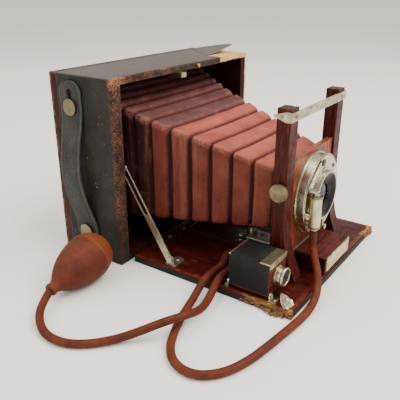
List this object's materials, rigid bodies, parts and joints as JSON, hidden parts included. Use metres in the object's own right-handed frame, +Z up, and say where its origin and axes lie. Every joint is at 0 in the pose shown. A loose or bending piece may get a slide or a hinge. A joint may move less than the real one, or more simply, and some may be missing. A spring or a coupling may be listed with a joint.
{
  "type": "folding plate camera",
  "caption": "Folding plate camera with drop bed, tapered bellows, pneumatic shutter on a sliding standard, swivelling finder, strap and rubber release bulb.",
  "frame": {"origin": "mouth of the tripod bush, centre of the case's underside, on the plane the camera rests on", "axes": "+Z up, the lens looks along -Y, +X to the right seen from the front"},
  "size_m": [0.358, 0.2744, 0.184],
  "materials": {
    "case_leather": "grained black leather, worn brown on the edges",
    "bed_wood": "French-polished mahogany",
    "case_wood": "mahogany, oiled",
    "standard_wood": "dark polished mahogany",
    "panel_wood": "light mahogany",
    "bellows_leather": "thin maroon bellows leather over cloth",
    "nickel": "aged warm nickel plate",
    "dark_metal": "blackened brass",
    "brass": "lacquered brass, dulled",
    "ivory": "yellowed ivorine plate",
    "rubber": "red-brown natural rubber, matte",
    "glass": "clear glass",
    "ground_glass": "ground on one side",
    "mirror": "silvered glass",
    "spring_steel": "brass-tinted spring strip"
  },
  "bodies": {
    "case": {"base_board": "case_wood", "side_boards": "case_wood", "top_board": "case_wood", "leather_covering": "case_leather", "underside_leather": "case_leather", "bellows_partition": "standard_wood", "back_frame": "case_wood", "leaf_springs": "spring_steel", "spring_studs": "nickel", "bed_board": "bed_wood", "bed_hinge": "nickel", "track_rails": "nickel", "struts": "nickel", "strut_feet": "nickel", "strut_pins": "nickel", "bed_catch": "nickel", "tripod_bush": "brass", "strap": "case_leather", "strap_studs": "nickel", "bellows": "bellows_leather", "finder_brackets": "nickel", "rubber_tube": "rubber", "rubber_bulb": "rubber", "case_screws": "nickel"},
    "standard": {"upright_left": "standard_wood", "upright_right": "standard_wood", "sliding_block": "bed_wood", "slide_plates": "nickel", "name_plate": "ivory", "top_brace": "nickel", "bellows_front_frame": "standard_wood", "standard_screws": "nickel"},
    "lens_panel": {"lens_board": "panel_wood", "shutter_case": "nickel", "shutter_face": "nickel", "lens_bezel": "dark_metal", "lens_elements": "glass", "rear_barrel": "dark_metal", "shutter_pins": "nickel", "air_cylinder": "nickel", "hose_nozzle": "nickel"},
    "leaf_right": {"shutter_leaf_right": "dark_metal"},
    "leaf_left": {"shutter_leaf_left": "dark_metal"},
    "air_piston": {"piston": "nickel"},
    "trigger": {"release_lever": "nickel"},
    "diaphragm": {"diaphragm_pointer": "nickel"},
    "clamp_screw": {"rise_knob": "nickel"},
    "slide_lock": {"lock_lever": "nickel"},
    "finder": {"finder_body": "standard_wood", "finder_leather": "case_leather", "finder_bars": "nickel", "finder_glasses": "glass", "finder_mirror": "mirror", "finder_lens_tube": "nickel", "finder_pivot_pin": "nickel"},
    "finder_cover": {"finder_lid": "case_leather"},
    "focusing_back": {"focusing_frame": "case_wood", "focusing_glass": "ground_glass"},
    "bed_release": {"release_pin": "brass"}
  },
  "joints": [
    {"name": "focus_slide", "type": "slide", "parent": "case", "child": "standard", "axis": [0, 1, 0], "range_m": [0, 0.025], "deforming": ["bellows", "rubber_tube"]},
    {"name": "rising_panel", "type": "slide", "parent": "standard", "child": "lens_panel", "axis": [0, 0, 1], "range_m": [0, 0.008], "deforming": ["rubber_tube"]},
    {"name": "piston_stroke", "type": "slide", "parent": "lens_panel", "child": "air_piston", "axis": [0, 0, 1], "range_m": [0, 0.004], "stiffness_N_per_m": 60, "springref_m": -0.003},
    {"name": "trigger_swing", "type": "hinge", "parent": "lens_panel", "child": "trigger", "pos_m": [-0.0085, -0.197, 0.109], "axis": [0, 1, 0], "range_deg": [0, 10.6]},
    {"name": "leaf_right_swing", "type": "hinge", "parent": "lens_panel", "child": "leaf_right", "pos_m": [0, -0.19, 0.099], "axis": [0, 1, 0], "range_deg": [-28.8, 0]},
    {"name": "leaf_left_swing", "type": "hinge", "parent": "lens_panel", "child": "leaf_left", "pos_m": [0, -0.19, 0.099], "axis": [0, 1, 0], "range_deg": [0, 28.8]},
    {"name": "diaphragm_turn", "type": "hinge", "parent": "lens_panel", "child": "diaphragm", "pos_m": [0, -0.196, 0.075], "axis": [0, 1, 0], "range_deg": [-20, 28]},
    {"name": "clamp_screw_turn", "type": "hinge", "parent": "standard", "child": "clamp_screw", "pos_m": [-0.05, -0.1805, 0.0926], "axis": [1, 0, 0], "range_deg": [0, 180]},
    {"name": "slide_lock_turn", "type": "hinge", "parent": "standard", "child": "slide_lock", "pos_m": [-0.021, -0.133, 0.026], "axis": [0, 0, 1], "range_deg": [-18, 30]},
    {"name": "finder_swivel", "type": "hinge", "parent": "case", "child": "finder", "pos_m": [-0.0952, -0.174, 0.0112], "axis": [0, -1, 0], "range_deg": [0, 90]},
    {"name": "finder_cover_hinge", "type": "hinge", "parent": "finder", "child": "finder_cover", "pos_m": [-0.0824, -0.1839, 0.0424], "axis": [1, 0, 0], "range_deg": [0, 100]},
    {"name": "focusing_back_pull", "type": "slide", "parent": "case", "child": "focusing_back", "axis": [0, 1, 0], "range_m": [0, 0.012], "stiffness_N_per_m": 400, "springref_m": -0.004, "deforming": ["leaf_springs"]},
    {"name": "bed_release_press", "type": "slide", "parent": "case", "child": "bed_release", "axis": [0, 1, 0], "range_m": [0, 0.0015], "stiffness_N_per_m": 300, "springref_m": -0.001}
  ],
  "couplings": [
    {"joint": "trigger_swing", "follows": "piston_stroke", "rad_per_m": 45.8},
    {"joint": "leaf_right_swing", "follows": "piston_stroke", "rad_per_m": -125},
    {"joint": "leaf_left_swing", "follows": "piston_stroke", "rad_per_m": 125}
  ]
}
